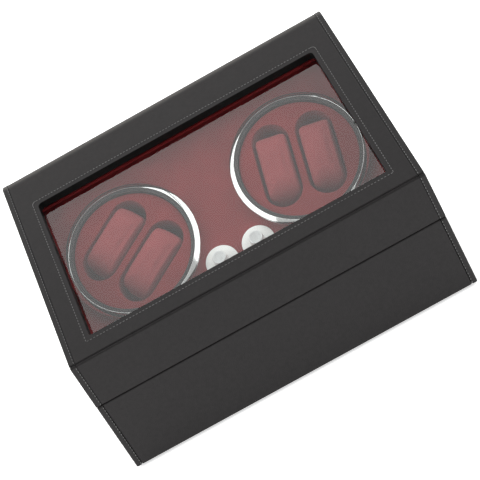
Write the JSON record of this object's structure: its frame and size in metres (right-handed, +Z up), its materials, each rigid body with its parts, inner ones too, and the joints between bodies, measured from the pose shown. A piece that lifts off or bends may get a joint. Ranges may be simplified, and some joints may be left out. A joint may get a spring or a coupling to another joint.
{
  "type": "watch winder box",
  "caption": "Leather-wrapped case with a sloping hinged glass lid over chrome-rimmed turntables that turn watches on pillows.",
  "frame": {"origin": "centre of the bounding box at the level of the feet, on the surface that the box stands on", "axes": "+X to the right of someone facing the front, +Y towards the back where the lid is hinged, +Z up"},
  "size_m": [0.33, 0.2072, 0.2126],
  "materials": {
    "leather": "fine-grained black synthetic leather wrapped over board, grey stitching",
    "velvet": "wine-red short-pile velvet",
    "chrome": "mirror-bright plated ring",
    "glass": "clear polished pane",
    "white_plastic": "glossy white moulding",
    "black_plastic": "black moulding",
    "steel": "bright steel",
    "brass": "polished brass",
    "rubber": "black rubber",
    "circuit_board": "green solder-masked board with parts"
  },
  "bodies": {
    "base": {"base_bottom_board": "leather", "base_front_board": "leather", "base_rear_board": "leather", "base_side_left": "leather", "base_side_right": "leather", "foot_front_left": "rubber", "foot_front_right": "rubber", "foot_rear_left": "rubber", "foot_rear_right": "rubber", "side_lining_left": "velvet", "side_lining_right": "velvet", "rear_ledge": "velvet", "deck_panel": "velvet", "hinge_base_leaf_left": "brass", "hinge_pin_left": "steel", "hinge_base_leaf_right": "brass", "hinge_pin_right": "steel", "label_disc_left": "white_plastic", "rotary_switch_left": "black_plastic", "label_disc_right": "white_plastic", "rotary_switch_right": "black_plastic", "spindle_bush_left": "brass", "drive_carrier_left": "black_plastic", "drive_belt_left": "rubber", "gear_motor_left": "steel", "spindle_bush_right": "brass", "drive_carrier_right": "black_plastic", "drive_belt_right": "rubber", "gear_motor_right": "steel", "dc_jack": "black_plastic", "control_board": "circuit_board"},
    "lid": {"lid_rail_front": "leather", "lid_rail_rear": "leather", "lid_rail_left": "leather", "lid_rail_right": "leather", "lid_front_board": "leather", "lid_side_left": "leather", "lid_side_right": "leather", "lid_rear_board": "leather", "lid_glass": "glass", "glass_retainer": "velvet", "hinge_lid_leaf_left": "brass", "hinge_lid_leaf_right": "brass"},
    "turntable_left": {"turntable_drum_left": "black_plastic", "turntable_ring_left": "chrome", "velvet_insert_left": "velvet", "watch_pillow_left_1": "velvet", "watch_pillow_left_2": "velvet", "turntable_spindle_left": "black_plastic"},
    "motor_pulley_left": {"motor_pulley_left": "white_plastic"},
    "knob_left": {"knob_left": "white_plastic"},
    "turntable_right": {"turntable_drum_right": "black_plastic", "turntable_ring_right": "chrome", "velvet_insert_right": "velvet", "watch_pillow_right_1": "velvet", "watch_pillow_right_2": "velvet", "turntable_spindle_right": "black_plastic"},
    "motor_pulley_right": {"motor_pulley_right": "white_plastic"},
    "knob_right": {"knob_right": "white_plastic"}
  },
  "joints": [
    {"name": "lid_hinge", "type": "hinge", "parent": "base", "child": "lid", "pos_m": [0, 0.1014, 0.17695], "axis": [-1, 0, 0], "range_deg": [0, 95]},
    {"name": "turntable_left_spin", "type": "hinge", "parent": "base", "child": "turntable_left", "pos_m": [-0.084, 0.0153, 0.1262], "axis": [0, -0.6691, 0.7431], "continuous": true},
    {"name": "turntable_right_spin", "type": "hinge", "parent": "base", "child": "turntable_right", "pos_m": [0.084, 0.0153, 0.1262], "axis": [0, -0.6691, 0.7431], "continuous": true},
    {"name": "motor_pulley_left_spin", "type": "hinge", "parent": "base", "child": "motor_pulley_left", "pos_m": [-0.022, 0.05143, 0.08607], "axis": [0, -0.6691, 0.7431], "continuous": true},
    {"name": "motor_pulley_right_spin", "type": "hinge", "parent": "base", "child": "motor_pulley_right", "pos_m": [0.022, 0.05143, 0.08607], "axis": [0, -0.6691, 0.7431], "continuous": true},
    {"name": "knob_left_turn", "type": "hinge", "parent": "base", "child": "knob_left", "pos_m": [-0.018, -0.02164, 0.09429], "axis": [0, -0.6691, 0.7431], "range_deg": [-60, 60]},
    {"name": "knob_right_turn", "type": "hinge", "parent": "base", "child": "knob_right", "pos_m": [0.018, -0.02164, 0.09429], "axis": [0, -0.6691, 0.7431], "range_deg": [-60, 60]}
  ],
  "couplings": [
    {"joint": "motor_pulley_left_spin", "follows": "turntable_left_spin", "ratio": 6},
    {"joint": "motor_pulley_right_spin", "follows": "turntable_right_spin", "ratio": 6}
  ]
}
